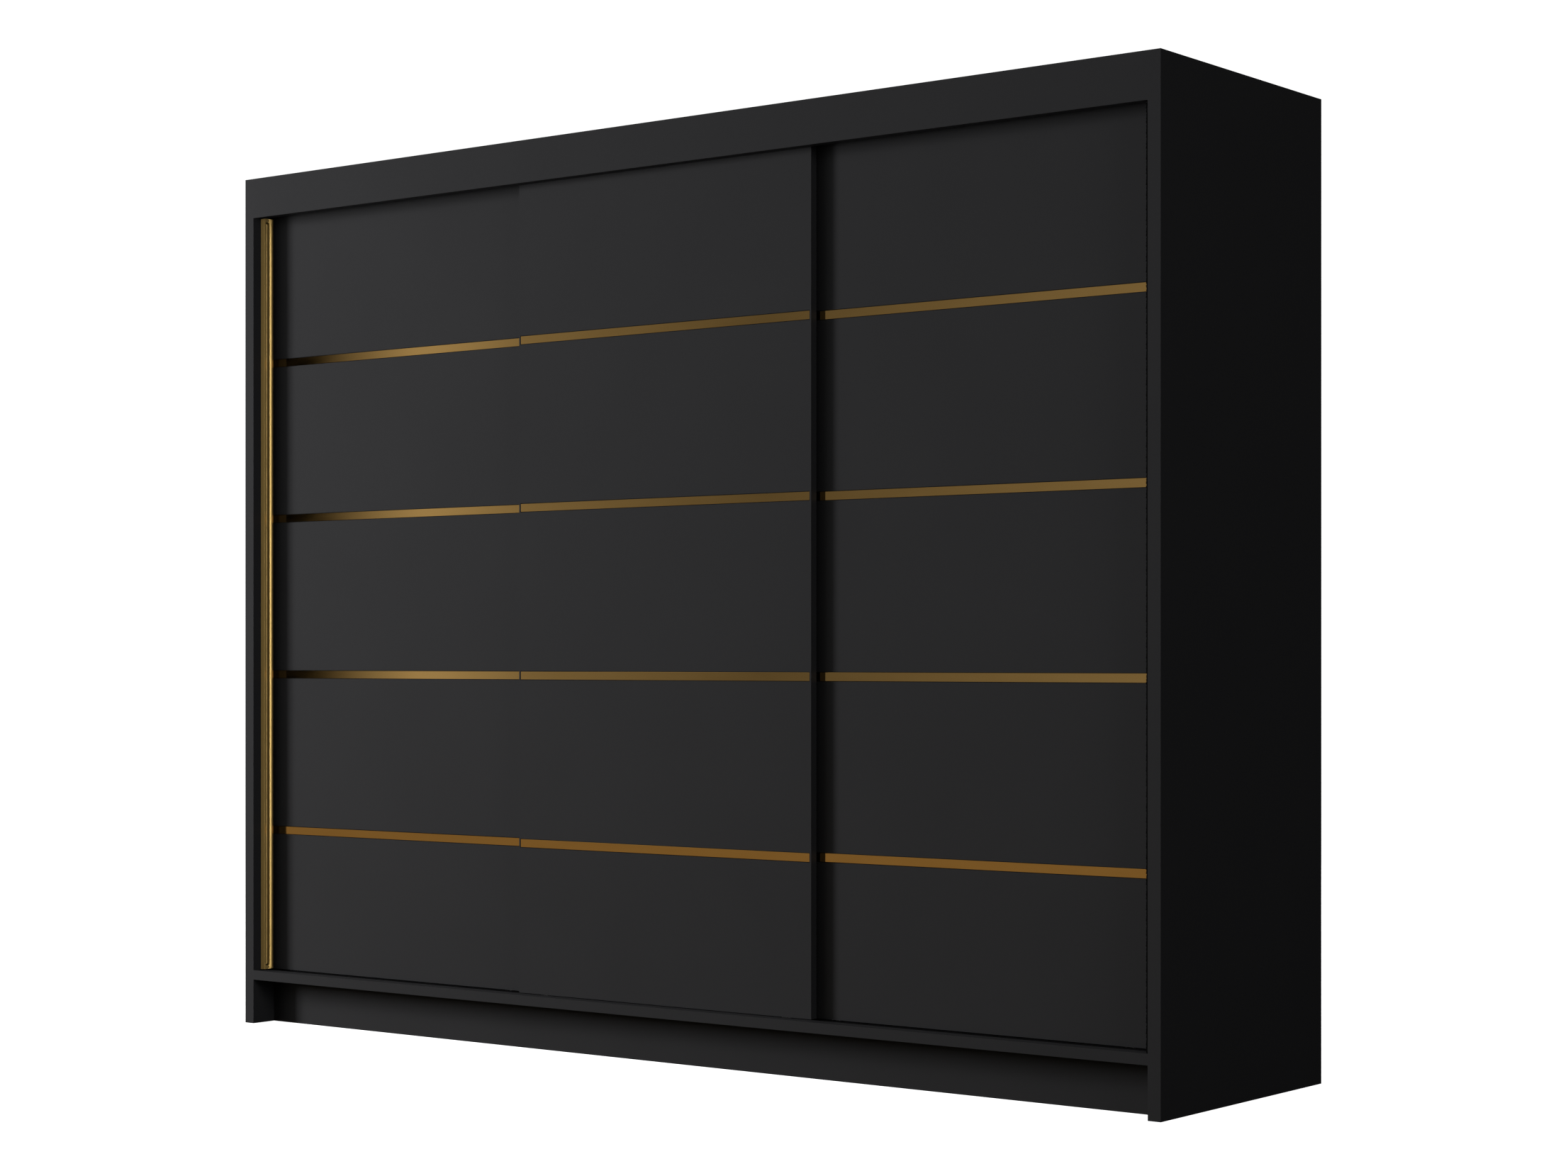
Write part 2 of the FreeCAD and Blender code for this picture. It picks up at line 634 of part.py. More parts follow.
def save_door(name, door, front, handle_side):
    """Every piece of one door."""
    save(name + "_board", door_board(door, front, handle_side))
    save(name + "_strips", *door_strips(door, front))
    save(name + "_roller_housings", *[roller_housing(x, front) for x in roller_xs(door)])
    save(name + "_guide_pins", *[guide_pin(x, front) for x in guide_xs(door)])
    for end, rx, gx in zip(("left", "right"), roller_xs(door), guide_xs(door)):
        save(name + "_" + end + "_roller", roller(rx, front))
        save(name + "_" + end + "_guide_wheel", guide_wheel(gx, front))
    if handle_side:
        save(name + "_handle", handle(door, front, handle_side))
        centre = sum(handle_span(door, handle_side)) / 2
        save(name + "_handle_screws", *handle_screws(centre, front))
    else:
        save(name + "_edge_seals", *middle_seals(door, front))
    if handle_side < 0:
        save(name + "_edge_seal", left_edge_seal(door, front))


def save_boards():
    bores = joinery_bores()
    pins = [shelf_pin(p, FIT) for p in pin_places()]
    screws = track_screws(FIT)
    save("left_side_panel", side_panel(-1, bores + pins))
    save("right_side_panel", side_panel(1, bores + pins))
    save("top_panel", top_panel(bores + screws))
    save("bottom_panel", bottom_panel(bores + screws))
    save("header_board", header_board(bores))
    save("left_partition", partition(-PARTITION_X, bores + pins))
    save("right_partition", partition(PARTITION_X, bores + pins))


def save_plinth():
    front_back = PLINTH_FRONT + PANEL_T
    save("front_plinth", block(-INNER, INNER, PLINTH_FRONT, front_back, 0, PLINTH_H))
    rear = BACK_PLINTH_Y + PANEL_T
    save("back_plinth", block(-INNER, INNER, BACK_PLINTH_Y, rear, 0, PLINTH_H))
    half = PANEL_T / 2
    members = [
        block(x - half, x + half, front_back, BACK_PLINTH_Y, 0, PLINTH_H) for x in CROSS_MEMBER_XS
    ]
    save("plinth_cross_members", *members)


def save_back():
    outer = INNER + BACK_REBATE - ROD_END_GAP
    seam = BACK_SEAM / 2
    save("left_back_panel", back_panel(-outer, -PARTITION_X - seam))
    save("middle_back_panel", back_panel(-PARTITION_X + seam, PARTITION_X - seam))
    save("right_back_panel", back_panel(PARTITION_X + seam, outer))
    save("wall_brackets", *[wall_bracket(x) for x in (-BRACKET_X, BRACKET_X)])


def save_inside():
    names = ("left_hat_shelf", "left_lower_shelf")
    for name, z in zip(names, shelf_heights(LEFT_BAY)):
        save(name, shelf(LEFT_BAY, z))
    save("middle_hat_shelf", shelf(MIDDLE_BAY, HAT_SHELF_Z))
    save("right_hat_shelf", shelf(RIGHT_BAY, HAT_SHELF_Z))
    save("middle_hanging_rod", hanging_rod(MIDDLE_BAY))
    save("right_hanging_rod", hanging_rod(RIGHT_BAY))
    sockets = []
    for bay in (MIDDLE_BAY, RIGHT_BAY):
        sockets += [rod_socket(bay[0], 1), rod_socket(bay[1], -1)]
    save("rod_sockets", *sockets)
    save("shelf_pins", *[shelf_pin(p) for p in pin_places()])


def save_fasteners():
    places = cam_places()
    save("cam_locks", *[cam_lock(p).cut(cam_bolt(p, FIT)) for p in places])
    save("cam_bolts", *[cam_bolt(p) for p in places])
    save("dowels", *(side_dowels() + partition_dowels()))


def save_tracks():
    screws = track_screws(FIT)
    save("bottom_track", bored(bottom_track(), screws))
    save("top_track", *[bored(piece, screws) for piece in top_track()])
    save("track_screws", *track_screws())
    save("door_stops", *door_stops())


os.makedirs("parts", exist_ok=True)
save_boards()
save_plinth()
save_back()
save_inside()
save_fasteners()
save_tracks()
save("right_panel_seal", panel_seal())
save_door("left_door", LEFT_DOOR, REAR_DOOR_Y, -1)
save_door("middle_door", MIDDLE_DOOR, FRONT_DOOR_Y, 0)
save_door("right_door", RIGHT_DOOR, REAR_DOOR_Y, 1)
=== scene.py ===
import json
import math

import bmesh
import bpy
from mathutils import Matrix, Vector

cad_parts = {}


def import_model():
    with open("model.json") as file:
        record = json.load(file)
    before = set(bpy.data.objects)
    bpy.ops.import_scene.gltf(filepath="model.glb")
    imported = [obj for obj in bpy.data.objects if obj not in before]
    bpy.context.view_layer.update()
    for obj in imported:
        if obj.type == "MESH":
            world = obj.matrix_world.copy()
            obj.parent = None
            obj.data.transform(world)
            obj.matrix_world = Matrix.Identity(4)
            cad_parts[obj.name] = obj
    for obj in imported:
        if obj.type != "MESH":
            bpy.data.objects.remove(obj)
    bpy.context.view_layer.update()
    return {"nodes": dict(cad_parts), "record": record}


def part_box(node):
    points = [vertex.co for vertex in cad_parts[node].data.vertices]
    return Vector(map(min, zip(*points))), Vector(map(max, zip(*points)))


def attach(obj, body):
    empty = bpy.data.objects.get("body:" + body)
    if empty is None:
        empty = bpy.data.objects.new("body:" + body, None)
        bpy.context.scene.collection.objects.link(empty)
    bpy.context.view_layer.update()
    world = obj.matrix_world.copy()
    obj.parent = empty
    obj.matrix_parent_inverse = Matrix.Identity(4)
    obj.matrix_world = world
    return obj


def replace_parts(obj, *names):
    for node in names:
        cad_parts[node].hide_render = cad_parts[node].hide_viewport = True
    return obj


# The looks of the sliding wardrobe, in metres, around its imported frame.

# ---- camera ----
CAMERA_PLACE = (4.0754, -5.1337, 0.8619)
CAMERA_YAW = math.radians(37.627)    # to the left of +Y; the camera is level
CAMERA_LENS = 68.30
CAMERA_SENSOR = 36.0
CAMERA_SHIFT_Y = 0.04555             # keeps upright edges upright

# ---- rounding of edges ----
BOARD_EDGE = 0.0008
GOLD_EDGE = 0.0004
METAL_EDGE = 0.0003
GRIP_EDGE = 0.0008
HEAD_EDGE = 0.0001

# ---- distances under which two vertices are one ----
SAME_POINT = 0.000001
WELD_GAP = 0.000002
SAME_SOLID = 0.00001

# ---- lamps: (name, place, aimed at, width, height, watts) ----
# The surface lamps show in no mirror; the studio lamps do.
SURFACE_LAMPS = (
    ("key", (-5.8, -3.7, 2.1), (-0.6, -0.3, 1.0), 1.2, 2.6, 391.0),
    ("fill", (-3.4, -2.9, 2.0), (-0.6, -0.3, 1.0), 3.6, 2.8, 35.0),
    ("side", (7.0, -2.6, 2.6), (0.6, -0.2, 1.0), 2.4, 2.4, 68.0),
)
STUDIO_LAMPS = (
    ("top", (0.0, 0.9, 4.6), (0.0, 0.3, 2.0), 2.2, 2.2, 40.0),
    ("back", (0.0, 5.6, 2.4), (0.0, 0.3, 0.9), 2.2, 3.0, 110.0),
)
# The handle lamps light only the grip handles, the panel lamp only the left side panel.
HANDLE_LAMPS = (
    ("handle_front", (-1.0, -5.5, 1.3), (-1.2, -0.3, 1.0), 1.0, 3.0, 58.0),
    ("handle_side", (6.6, -0.95, 1.3), (-1.2, -0.28, 1.0), 1.2, 3.4, 160.0),
)
PANEL_LAMPS = (
    ("recess", (3.0, -1.6, 1.2), (-1.2, -0.3, 0.9), 0.8, 2.4, 15.0),
)

# ---- white surroundings ----
WHITE_GLOW = 1.05
FLOOR_REACH = 40.0

# ---- the card in front of the wardrobe that its gold mirrors ----
CARD_Y = -4.0
CARD_X = (-9.5, 6.0)
CARD_Z = (-1.0, 5.0)
CARD_LOW_Z = (0.3, 0.6)              # below this it glows evenly, like a lit floor
CARD_LOW_GLOW = (0.20, 0.16, 0.11)
CARD_SHADES = (                      # place along X, and how bright the card is there
    (-5.0, 0.0),                     # a black flag
    (-4.4, 0.4),                     # a soft box
    (-3.8, 0.2),
    (-2.6, 0.1),                     # the dim gap between the soft box and the room
    (-1.0, 0.2),
)


# ---- small node helpers ----
# The mix node's colour sockets share their names with others, so they go by number.
MIX_A, MIX_B = 6, 7
MIX_RESULT = 2


class Shader:
    """A node material with a Principled BSDF, and short ways to feed it."""

    def __init__(self, name, color, roughness, metallic=0.0):
        self.material = bpy.data.materials.new(name)
        self.material.use_nodes = True
        self.tree = self.material.node_tree
        self.bsdf = self.tree.nodes["Principled BSDF"]
        self.set("Base Color", (*color, 1.0))
        self.set("Roughness", roughness)
        self.set("Metallic", metallic)
        self.material.diffuse_color = (*color, 1.0)

    def set(self, socket, value):
        self.bsdf.inputs[socket].default_value = value

    def node(self, kind, **inputs):
        node = self.tree.nodes.new(kind)
        for name, value in inputs.items():
            node.inputs[name].default_value = value
        return node

    def link(self, output, target):
        self.tree.links.new(output, target)

    def place(self, stretch=(1.0, 1.0, 1.0)):
        """The place on the piece in metres; a stretch over 1 draws the texture out along its axis."""
        coords = self.tree.nodes.new("ShaderNodeTexCoord")
        mapping = self.tree.nodes.new("ShaderNodeMapping")
        mapping.inputs["Scale"].default_value = tuple(1.0 / s for s in stretch)
        self.link(coords.outputs["Object"], mapping.inputs["Vector"])
        return mapping.outputs["Vector"]

    def noise(self, scale, detail=2.0, stretch=(1.0, 1.0, 1.0), rough=0.5):
        node = self.node("ShaderNodeTexNoise", Scale=scale, Detail=detail, Roughness=rough)
        self.link(self.place(stretch), node.inputs["Vector"])
        return node.outputs["Fac"]

    def between(self, fac, low, high):
        """fac's middle half spread over low to high."""
        node = self.tree.nodes.new("ShaderNodeMapRange")
        node.inputs["From Min"].default_value = 0.25
        node.inputs["From Max"].default_value = 0.75
        node.inputs["To Min"].default_value = low
        node.inputs["To Max"].default_value = high
        self.link(fac, node.inputs["Value"])
        return node.outputs["Result"]

    def tint(self, fac, dark, light):
        """A colour between dark and light."""
        ramp = self.tree.nodes.new("ShaderNodeValToRGB")
        ramp.color_ramp.elements[0].position = 0.3
        ramp.color_ramp.elements[1].position = 0.7
        ramp.color_ramp.elements[0].color = (*dark, 1.0)
        ramp.color_ramp.elements[1].color = (*light, 1.0)
        self.link(fac, ramp.inputs["Fac"])
        return ramp.outputs["Color"]

    def mix(self, share, first, second):
        """Two colours blended; share is the second one's part."""
        node = self.tree.nodes.new("ShaderNodeMix")
        node.data_type = "RGBA"
        node.inputs["Factor"].default_value = share
        self.link(first, node.inputs[MIX_A])
        self.link(second, node.inputs[MIX_B])
        return node.outputs[MIX_RESULT]

    def bump(self, height, distance, strength=1.0, below=None):
        node = self.node("ShaderNodeBump", Strength=strength, Distance=distance)
        self.link(height, node.inputs["Height"])
        if below:
            self.link(below, node.inputs["Normal"])
        return node.outputs["Normal"]

    def feed(self, **sockets):
        for name, output in sockets.items():
            self.link(output, self.bsdf.inputs[name.replace("_", " ")])
        return self.material


# ---- materials, one for each slot of the record ----
def black_laminate():
    """Charcoal melamine: fine pearl grain, faint cloudiness, a soft sheen."""
    s = Shader("black_laminate", (0.040, 0.040, 0.042), 0.50)
    s.set("Specular IOR Level", 0.25)
    fine = s.noise(1400.0, 3.0)
    cloud = s.noise(3.5, 3.0)
    speckle = s.tint(fine, (0.036, 0.036, 0.038), (0.044, 0.044, 0.046))
    broad = s.tint(cloud, (0.038, 0.038, 0.040), (0.042, 0.042, 0.044))
    grain = s.bump(fine, 0.00006, 0.5)
    ripple = s.bump(s.noise(9.0, 1.0), 0.0004, 0.25, grain)
    return s.feed(
        Base_Color=s.mix(0.5, speckle, broad),
        Roughness=s.between(s.noise(160.0, 3.0), 0.44, 0.53),
        Normal=ripple,
    )


def hardboard():
    """Thin brown hardboard: matted fibres, darker and lighter flecks."""
    s = Shader("hardboard", (0.16, 0.105, 0.062), 0.78)
    fibres = s.noise(420.0, 5.0, (1.0, 1.0, 2.2))
    fleck = s.noise(45.0, 4.0)
    color = s.mix(
        0.45,
        s.tint(fibres, (0.115, 0.072, 0.040), (0.205, 0.138, 0.084)),
        s.tint(fleck, (0.135, 0.088, 0.050), (0.185, 0.122, 0.074)),
    )
    return s.feed(
        Base_Color=color,
        Roughness=s.between(fleck, 0.72, 0.86),
        Normal=s.bump(fibres, 0.0002, 0.6),
    )


def beech():
    s = Shader("beech", (0.62, 0.44, 0.27), 0.6)
    grain = s.noise(260.0, 4.0, (9.0, 1.0, 1.0))
    return s.feed(
        Base_Color=s.tint(grain, (0.53, 0.36, 0.21), (0.70, 0.51, 0.32)),
        Roughness=s.between(grain, 0.52, 0.68),
        Normal=s.bump(grain, 0.0001, 0.5),
    )


def gold_mirror():
    """Mirror-bright gold sheet: a trace of haze and of unevenness."""
    s = Shader("gold_mirror", (0.86, 0.52, 0.165), 0.07, 1.0)
    haze = s.noise(55.0, 4.0, (6.0, 1.0, 1.0))
    return s.feed(
        Base_Color=s.tint(haze, (0.84, 0.505, 0.158), (0.88, 0.535, 0.172)),
        Roughness=s.between(haze, 0.05, 0.09),
        Normal=s.bump(s.noise(7.0, 1.0), 0.0003, 0.12),
    )


def gold_anodised():
    """Satin gold anodising over a fine lengthwise brushing."""
    s = Shader("gold_anodised", (0.89, 0.61, 0.21), 0.48, 1.0)
    lines = s.noise(2600.0, 3.0, (1.0, 1.0, 6000.0))
    cloud = s.noise(18.0, 3.0, (1.0, 1.0, 14.0))
    return s.feed(
        Base_Color=s.tint(cloud, (0.87, 0.595, 0.200), (0.91, 0.625, 0.222)),
        Roughness=s.between(lines, 0.45, 0.51),
        Normal=s.bump(lines, 0.00004, 0.04),
    )


def black_anodised():
    s = Shader("black_anodised", (0.018, 0.018, 0.019), 0.34, 0.75)
    lines = s.noise(2200.0, 3.0, (220.0, 1.0, 1.0))
    return s.feed(
        Base_Color=s.tint(s.noise(30.0, 3.0, (5.0, 1.0, 1.0)), (0.014, 0.014, 0.015),
                          (0.024, 0.024, 0.025)),
        Roughness=s.between(lines, 0.27, 0.42),
        Normal=s.bump(lines, 0.00004, 0.4),
    )


def bright_metal(name, color, low, high, stretch):
    """Plated steel: fine scratches one way, roughness that varies."""
    s = Shader(name, color, (low + high) / 2, 1.0)
    lines = s.noise(1900.0, 3.0, stretch)
    dull = s.noise(70.0, 4.0)
    darker = tuple(c * 0.88 for c in color)
    return s.feed(
        Base_Color=s.tint(dull, darker, color),
        Roughness=s.between(dull, low, high),
        Normal=s.bump(lines, 0.00003, 0.35),
    )


def moulded(name, color, low, high):
    """Moulded plastic or rubber: fine eroded texture, slight mottling."""
    s = Shader(name, color, (low + high) / 2)
    texture = s.noise(1700.0, 3.0)
    mottle = s.noise(90.0, 3.0)
    darker = tuple(c * 0.86 for c in color)
    return s.feed(
        Base_Color=s.tint(mottle, darker, color),
        Roughness=s.between(texture, low, high),
        Normal=s.bump(texture, 0.00008, 0.5),
    )


def brush_pile():
    """Black pile: fine tufts side by side along the strip. It is nearly lightless, so that the right
    panel's seal also gives the painted shade line beside the right door.
    """
    s = Shader("brush_pile", (0.004, 0.004, 0.004), 0.9)
    s.set("Specular IOR Level", 0.1)
    tufts = s.noise(1500.0, 2.0, (4.0, 4.0, 1.0))
    return s.feed(
        Base_Color=s.tint(tufts, (0.002, 0.002, 0.002), (0.006, 0.006, 0.006)),
        Roughness=s.between(tufts, 0.82, 0.97),
        Normal=s.bump(tufts, 0.0004, 0.8),
    )


def materials():
    """One material for each slot name."""
    return {
        "black_laminate": black_laminate(),
        "hardboard": hardboard(),
        "beech": beech(),
        "gold_mirror": gold_mirror(),
        "gold_anodised": gold_anodised(),
        "black_anodised": black_anodised(),
        "chromed_steel": bright_metal("chromed_steel", (0.78, 0.79, 0.80), 0.05, 0.13,
                                      (200.0, 1.0, 1.0)),
        "zinc_alloy": bright_metal("zinc_alloy", (0.60, 0.60, 0.61), 0.30, 0.45, (1.0, 1.0, 1.0)),
        "screw_steel": bright_metal("screw_steel", (0.56, 0.56, 0.55), 0.24, 0.38,
                                    (1.0, 1.0, 1.0)),
        "nylon": moulded("nylon", (0.76, 0.75, 0.70), 0.38, 0.50),
        "black_plastic": moulded("black_plastic", (0.022, 0.022, 0.023), 0.42, 0.55),
        "black_rubber": moulded("black_rubber", (0.015, 0.015, 0.015), 0.75, 0.90),
        "brush_pile": brush_pile(),
    }


# ---- mesh helpers ----
def new_piece(name, verts, faces, look, slot, body, smooth=()):
    """An object from vertices and faces that rides on a body; smooth lists its smooth faces."""
    mesh = bpy.data.meshes.new(name)
    mesh.from_pydata(verts, [], faces)
    mesh.materials.append(look)
    for i in smooth:
        mesh.polygons[i].use_smooth = True
    mesh.validate()
    piece = bpy.data.objects.new(name, mesh)
    bpy.context.scene.collection.objects.link(piece)
    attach(piece, body)
    return piece


def clean_mesh(piece):
    """Joins vertices that share a place and turns every face outwards."""
    mesh = bmesh.new()
    mesh.from_mesh(piece.data)
    bmesh.ops.remove_doubles(mesh, verts=mesh.verts, dist=SAME_POINT)
    bmesh.ops.recalc_face_normals(mesh, faces=mesh.faces)
    mesh.to_mesh(piece.data)
    mesh.free()


def round_edges(piece, width, segments, turn):
    """Rounds the edges where the surface turns by more than this many degrees."""
    bevel = piece.modifiers.new("edge", "BEVEL")
    bevel.width = width
    bevel.segments = segments
    bevel.limit_method = "ANGLE"
    bevel.angle_limit = math.radians(turn)


# ---- grip handles: a bar with a crowned flank and a rounded finger slot ----
GRIP_LIP = 0.0025                    # from the bar's front to the slot
GRIP_SLOT = 0.0135
GRIP_SLOT_DEPTH = 0.0095
GRIP_END = 0.009                     # from the bar's end to the slot
GRIP_ARC_STEPS = 16
CROWN_AT = 0.0235                    # from the front, where the flank stands highest
CROWN_FROM = GRIP_LIP + GRIP_SLOT - 0.002
CROWN_BEND = 55.0                    # how fast it falls away on either side of that line
SLOT_RINGS = (                       # (outwards from the slot's edge, depth)
    (-0.0020, GRIP_SLOT_DEPTH), (-0.0009, GRIP_SLOT_DEPTH), (-0.00026, 0.00924), (0.0, 0.0086),
    (0.0, 0.0012), (0.00012, 0.0006), (0.00042, 0.00018), (0.0009, 0.0),
)
FLANK_STEPS = (0.12, 0.25, 0.38, 0.5, 0.62, 0.75, 0.88, 1.0)


def crown(s):
    """How far the flank lies below its highest line.

    In front of CROWN_FROM it is flat, so beyond the slot's ends it steps down there.
    """
    return CROWN_BEND * (s - CROWN_AT) ** 2 if s > CROWN_FROM else 0.0


def to_border(centre, angle, low, high):
    """Where the ray from centre at this angle leaves the rectangle."""
    ray = (math.cos(angle), math.sin(angle))
    reach = []
    for c, d, lo, hi in zip(centre, ray, low, high):
        if abs(d) > 1e-9:
            reach.append(((hi if d > 0 else lo) - c) / d)
    far = min(reach)
    return (centre[0] + ray[0] * far, centre[1] + ray[1] * far)


def slot_directions(low, high):
    """(centre of the round end, angle) around the slot, the flank's corners among them."""
    half = GRIP_SLOT / 2
    s = GRIP_LIP + half
    ends = (
        (high[1] - GRIP_END - half, 0.0, high[1]),
        (low[1] + GRIP_END + half, math.pi, low[1]),
    )
    directions = []
    for z, first, edge in ends:
        angles = [first + math.pi * i / GRIP_ARC_STEPS for i in range(GRIP_ARC_STEPS + 1)]
        for corner in (low[0], high[0]):
            angles.append(math.atan2(edge - z, corner - s) % (2 * math.pi))
        directions += [((s, z), angle) for angle in sorted(angles)]
    return directions


def grip_handle(name, look, body, side):
    """A bar built in rings, from the slot's floor over its mouth and the flank to the back.

    side is -1 for the left handle, whose slot opens to the right, and 1 for the right one.
    A point is (from the bar's front, height, depth below the mouth's side).
    """
    (x0, y0, z0), (x1, y1, z1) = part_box(name)
    width = x1 - x0
    mouth = x1 if side < 0 else x0
    low, high = (0.0, z0), (y1 - y0, z1)
    directions = slot_directions(low, high)
    rings = []
    for out, depth in SLOT_RINGS:
        r = GRIP_SLOT / 2 + out
        rings.append([(c[0] + r * math.cos(a), c[1] + r * math.sin(a), depth)
                      for c, a in directions])
    edge = [(s, z) for s, z, _ in rings.pop()]
    rings.append([(s, z, crown(s)) for s, z in edge])
    border = [to_border(c, a, low, high) for c, a in directions]
    for step in FLANK_STEPS:
        ring = [(p[0] + (q[0] - p[0]) * step, p[1] + (q[1] - p[1]) * step)
                for p, q in zip(edge, border)]
        rings.append([(s, z, crown(s)) for s, z in ring])
    rings.append([(s, z, width) for s, z in border])
    verts = [(mouth + side * d, y0 + s, z) for ring in rings for s, z, d in ring]
    n = len(directions)
    faces = []
    for k in range(len(rings) - 1):
        for i in range(n):
            j = (i + 1) % n
            faces.append((k * n + i, k * n + j, (k + 1) * n + j, (k + 1) * n + i))
    smooth = range((len(rings) - 2) * n)
    faces.append(tuple(range(n)))
    faces.append(tuple(reversed(range((len(rings) - 1) * n, len(rings) * n))))
    piece = new_piece(name + "_bar", verts, faces, look, "gold_anodised", body, smooth)
    clean_mesh(piece)
    round_edges(piece, GRIP_EDGE, 3, 62)
    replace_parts(piece, name)
    piece.visible_diffuse = False
    piece.visible_glossy = False
    return piece


# ---- small fittings and seals ----
MID_HEIGHT = 1.0                     # tells the fittings of the top from those of the bottom


def solids(name):
    """The box of each separate solid of a CAD node, as (low, high) corners, from left to right."""
    mesh = bmesh.new()
    mesh.from_mesh(frame["nodes"][name].data)
    bmesh.ops.remove_doubles(mesh, verts=mesh.verts, dist=SAME_SOLID)
    left = set(mesh.verts)
    boxes = []
    while left:
        todo = [left.pop()]
        found = []
        while todo:
            vert = todo.pop()
            found.append(vert.co.copy())
            for edge in vert.link_edges:
                other = edge.other_vert(vert)
                if other in left:
                    left.remove(other)
                    todo.append(other)
        boxes.append(tuple(Vector(f(c[i] for c in found) for i in range(3)) for f in (min, max)))
    mesh.free()
    return sorted(boxes, key=lambda box: tuple(box[0]))


CROSS_CORNERS = 12
CROSS_ARM = 0.24                     # half an arm's width, as a part of its reach
CROSS_TAPER = 0.7                    # an arm's end against its root
CROSS_FLOOR = 0.72                   # the recess's floor against its rim
HEAD_SIDES = 2 * CROSS_CORNERS       # two for each corner of the cross


def cross_outline(reach):
    """The corners of a screwdriver cross."""
    arm = reach * CROSS_ARM
    corners = []
    for turn in range(4):
        c, s = math.cos(turn * math.pi / 2), math.sin(turn * math.pi / 2)
        for x, y in ((arm, -arm), (reach, -arm * CROSS_TAPER), (reach, arm * CROSS_TAPER)):
            corners.append((x * c - y * s, x * s + y * c))
    return corners


def circle(radius):
    angles = [2 * math.pi * i / HEAD_SIDES for i in range(HEAD_SIDES)]
    return [(radius * math.cos(angle), radius * math.sin(angle)) for angle in angles]


class Fitting:
    """Collects turned fittings with a cross recess into one mesh."""

    def __init__(self):
        self.verts = []
        self.faces = []

    def ring(self, points, height, place, across, up, out):
        """Adds an outline at a height along out, and returns the numbers of its vertices."""
        first = len(self.verts)
        for x, y in points:
            self.verts.append(place + across * x + up * y + out * height)
        return list(range(first, len(self.verts)))

    def bridge(self, low, high):
        """Joins two rings of the same count with a band of faces."""
        for i in range(len(low)):
            j = (i + 1) % len(low)
            self.faces.append((low[i], low[j], high[j], high[i]))

    def add(self, place, out, profile, recess, depth):
        """One fitting that points along out.

        profile is (radius, height) from its inner end to the rim around the cross; recess is
        the cross's reach, and depth the recess's.
        """
        out = out.normalized()
        across = out.orthogonal().normalized()
        up = out.cross(across)
        axes = (place, across, up, out)
        rings = [self.ring(circle(radius), height, *axes) for radius, height in profile]
        for low, high in zip(rings, rings[1:]):
            self.bridge(low, high)
        self.faces.append(tuple(reversed(rings[0])))
        cross = cross_outline(recess)
        top = profile[-1][1]
        rim = self.ring(cross, top, *axes)
        base = self.ring([(x * CROSS_FLOOR, y * CROSS_FLOOR) for x, y in cross], top - depth, *axes)
        self.bridge(rim, base)
        self.faces.append(tuple(base))
        for i in range(CROSS_CORNERS):
            j = (i + 1) % CROSS_CORNERS
            a, b, c = (rings[-1][(2 * i + k - 2) % HEAD_SIDES] for k in range(3))
            self.faces += [(a, b, rim[i]), (b, c, rim[i]), (c, rim[j], rim[i])]

    def finish(self, name, look, slot, body):
        piece = new_piece(name, self.verts, self.faces, look, slot, body)
        clean_mesh(piece)
        round_edges(piece, HEAD_EDGE, 1, 50)
        return piece


# Heads, as (radius, height) from the shank outwards to the rim around the cross.
FLAT_HEAD = ((0.0019, -0.0025), (0.0038, -0.0003), (0.0039, 0.0), (0.0034, 0.0))
TRACK_HEAD = ((0.0019, -0.0018), (0.0030, -0.0018), (0.0030, -0.0010), (0.0026, -0.0003),
              (0.0019, 0.0))


def shank(length):
    """A screw's pointed end and the start of its shank."""
    return ((0.0008, -length), (0.0018, 0.002 - length))


def handle_screws(look):
    """The screws that hold each handle: flat heads, flush with the door's back."""
    for door in ("left_door", "right_door"):
        node = door + "_handle_screws"
        screws = Fitting()
        for low, high in solids(node):
            centre = Vector(((low.x + high.x) / 2, high.y, (low.z + high.z) / 2))
            profile = shank(high.y - low.y) + FLAT_HEAD
            screws.add(centre, Vector((0, 1, 0)), profile, recess=0.0021, depth=0.0014)
        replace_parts(screws.finish(node + "_cross", look, "screw_steel", door), node)


def track_screws(look):
    """The screws in both tracks: up through the top one, down through the bottom one."""
    screws = Fitting()
    for low, high in solids("track_screws"):
        centre = (low + high) / 2
        up = centre.z < MID_HEIGHT
        head = high.z if up else low.z
        place = Vector((centre.x, centre.y, head))
        profile = shank(high.z - low.z) + TRACK_HEAD
        out = Vector((0, 0, 1 if up else -1))
        screws.add(place, out, profile, recess=0.0015, depth=0.0010)
    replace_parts(screws.finish("track_screws_cross", look, "screw_steel", "carcass"), "track_screws")


def cam_locks(look):
    """Cam locks with a rim and a cross, flush with the boards."""
    locks = Fitting()
    for low, high in solids("cam_locks"):
        centre = (low + high) / 2
        out = 1 if centre.z > MID_HEIGHT else -1
        face = high.z if out > 0 else low.z
        radius = (high.x - low.x) / 2
        height = high.z - low.z
        profile = ((radius - 0.0004, -height), (radius, 0.0005 - height), (radius, -0.0004),
                   (radius - 0.0003, 0.0), (radius - 0.0011, 0.0), (radius - 0.0014, -0.0004),
                   (radius - 0.0030, -0.0004))
        place = Vector((centre.x, centre.y, face))
        locks.add(place, Vector((0, 0, out)), profile, recess=0.0030, depth=0.0030)
    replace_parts(locks.finish("cam_locks_cross", look, "zinc_alloy", "carcass"), "cam_locks")


PAN_SHANK = 0.006
# (radius, height) as parts of the head's radius, above the face that it lies on.
PAN_HEAD = ((0.55, 0.0), (1.0, 0.0), (1.0, 0.22), (0.86, 0.42), (0.62, 0.5))


